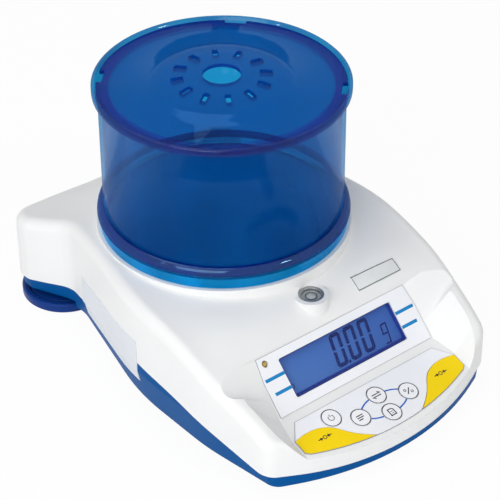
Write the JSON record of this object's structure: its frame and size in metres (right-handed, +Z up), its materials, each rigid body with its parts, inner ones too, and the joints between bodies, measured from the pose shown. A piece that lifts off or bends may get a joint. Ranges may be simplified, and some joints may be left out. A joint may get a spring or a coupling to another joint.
{
  "type": "portable precision balance",
  "caption": "Low bench balance with a round pan under a clear blue draft shield and vented lid, a sloping display, a keypad with two curved zero keys, and rear screw feet.",
  "frame": {"origin": "on the table, under the middle of the bounding box", "axes": "+Z up, +X to the operator's right, -Y towards the operator"},
  "size_m": [0.1653, 0.2504, 0.1576],
  "materials": {
    "white_shell": "satin white moulded plastic",
    "blue_base": "satin blue moulded plastic",
    "blue_clear": "clear blue moulded plastic, polished",
    "steel": "brushed stainless steel",
    "aluminium": "milled aluminium",
    "zinc_steel": "zinc-plated steel",
    "brass": "turned brass",
    "rubber": "black rubber",
    "board": "green circuit board",
    "black_plastic": "black moulded plastic",
    "lcd": "blue backlit liquid crystal glass",
    "backlight": "milky light guide",
    "clear_window": "clear window",
    "white_film": "printed white film",
    "white_key": "printed white key with a dark ring",
    "yellow_key": "printed yellow key",
    "amber_lamp": "amber indicator lamp",
    "silver_label": "blank silver label with a black border",
    "paper_label": "blank pale label",
    "cable": "grey ribbon cable",
    "battery": "sleeved round cells"
  },
  "bodies": {
    "case": {"top_case": "white_shell", "base": "blue_base", "case_screws": "zinc_steel", "foot_inserts": "brass", "front_feet": "rubber", "load_cell": "aluminium", "load_cell_spacer": "aluminium", "load_cell_screws": "zinc_steel", "overload_stops": "zinc_steel", "main_board": "board", "board_screws": "zinc_steel", "board_chips": "black_plastic", "power_jack": "black_plastic", "data_port": "steel", "ribbon_cable": "cable", "battery_cells": "battery", "display_film": "white_film", "display_window": "clear_window", "lcd_glass": "lcd", "lcd_backlight": "backlight", "display_board": "board", "status_lamp": "amber_lamp", "keypad_film": "white_film", "keypad_switches": "black_plastic", "keypad_board": "board", "level_cup": "steel", "level_glass": "clear_window", "model_plate": "silver_label", "side_label": "paper_label"},
    "pan_support": {"pan_support": "aluminium", "support_screws": "zinc_steel"},
    "weighing_pan": {"weighing_pan": "steel"},
    "draft_shield": {"draft_shield": "blue_clear"},
    "shield_lid": {"shield_lid": "blue_clear"},
    "foot_stud_left": {"foot_stud_left": "zinc_steel"},
    "foot_stud_right": {"foot_stud_right": "zinc_steel"},
    "foot_disc_left": {"foot_disc_left": "blue_base"},
    "foot_disc_right": {"foot_disc_right": "blue_base"},
    "battery_cover": {"battery_cover": "blue_base"},
    "key_power": {"key_power": "white_key"},
    "key_left": {"key_left": "white_key"},
    "key_top": {"key_top": "white_key"},
    "key_bottom": {"key_bottom": "white_key"},
    "key_right": {"key_right": "white_key"},
    "key_zero_left": {"key_zero_left": "yellow_key"},
    "key_zero_right": {"key_zero_right": "yellow_key"}
  },
  "joints": [
    {"name": "pan_support_flex", "type": "slide", "parent": "case", "child": "pan_support", "axis": [0, 0, -1], "range_m": [0, 0.0004], "stiffness_N_per_m": 20000},
    {"name": "pan_lift", "type": "slide", "parent": "pan_support", "child": "weighing_pan", "axis": [0, 0, 1], "range_m": [0, 0.05]},
    {"name": "shield_lift", "type": "slide", "parent": "case", "child": "draft_shield", "axis": [0, 0, 1], "range_m": [0, 0.1]},
    {"name": "lid_lift", "type": "slide", "parent": "draft_shield", "child": "shield_lid", "axis": [0, 0, 1], "range_m": [0, 0.06]},
    {"name": "battery_cover_drop", "type": "slide", "parent": "case", "child": "battery_cover", "axis": [0, 0, -1], "range_m": [0, 0.02]},
    {"name": "foot_left_thread", "type": "slide", "parent": "case", "child": "foot_stud_left", "axis": [0, 0, -1], "range_m": [-0.002, 0.004]},
    {"name": "foot_left_turn", "type": "hinge", "parent": "foot_stud_left", "child": "foot_disc_left", "pos_m": [-0.052, 0.10075, 0.003], "axis": [0, 0, -1], "range_deg": [-720, 1440]},
    {"name": "foot_right_thread", "type": "slide", "parent": "case", "child": "foot_stud_right", "axis": [0, 0, -1], "range_m": [-0.002, 0.004]},
    {"name": "foot_right_turn", "type": "hinge", "parent": "foot_stud_right", "child": "foot_disc_right", "pos_m": [0.052, 0.10075, 0.003], "axis": [0, 0, -1], "range_deg": [-720, 1440]},
    {"name": "key_power_press", "type": "slide", "parent": "case", "child": "key_power", "axis": [0, 0.2588, -0.9659], "range_m": [0, 0.0004], "stiffness_N_per_m": 3000},
    {"name": "key_left_press", "type": "slide", "parent": "case", "child": "key_left", "axis": [0, 0.2588, -0.9659], "range_m": [0, 0.0004], "stiffness_N_per_m": 3000},
    {"name": "key_top_press", "type": "slide", "parent": "case", "child": "key_top", "axis": [0, 0.2588, -0.9659], "range_m": [0, 0.0004], "stiffness_N_per_m": 3000},
    {"name": "key_bottom_press", "type": "slide", "parent": "case", "child": "key_bottom", "axis": [0, 0.2588, -0.9659], "range_m": [0, 0.0004], "stiffness_N_per_m": 3000},
    {"name": "key_right_press", "type": "slide", "parent": "case", "child": "key_right", "axis": [0, 0.2588, -0.9659], "range_m": [0, 0.0004], "stiffness_N_per_m": 3000},
    {"name": "key_zero_left_press", "type": "slide", "parent": "case", "child": "key_zero_left", "axis": [0, 0.2588, -0.9659], "range_m": [0, 0.0004], "stiffness_N_per_m": 3000},
    {"name": "key_zero_right_press", "type": "slide", "parent": "case", "child": "key_zero_right", "axis": [0, 0.2588, -0.9659], "range_m": [0, 0.0004], "stiffness_N_per_m": 3000}
  ]
}
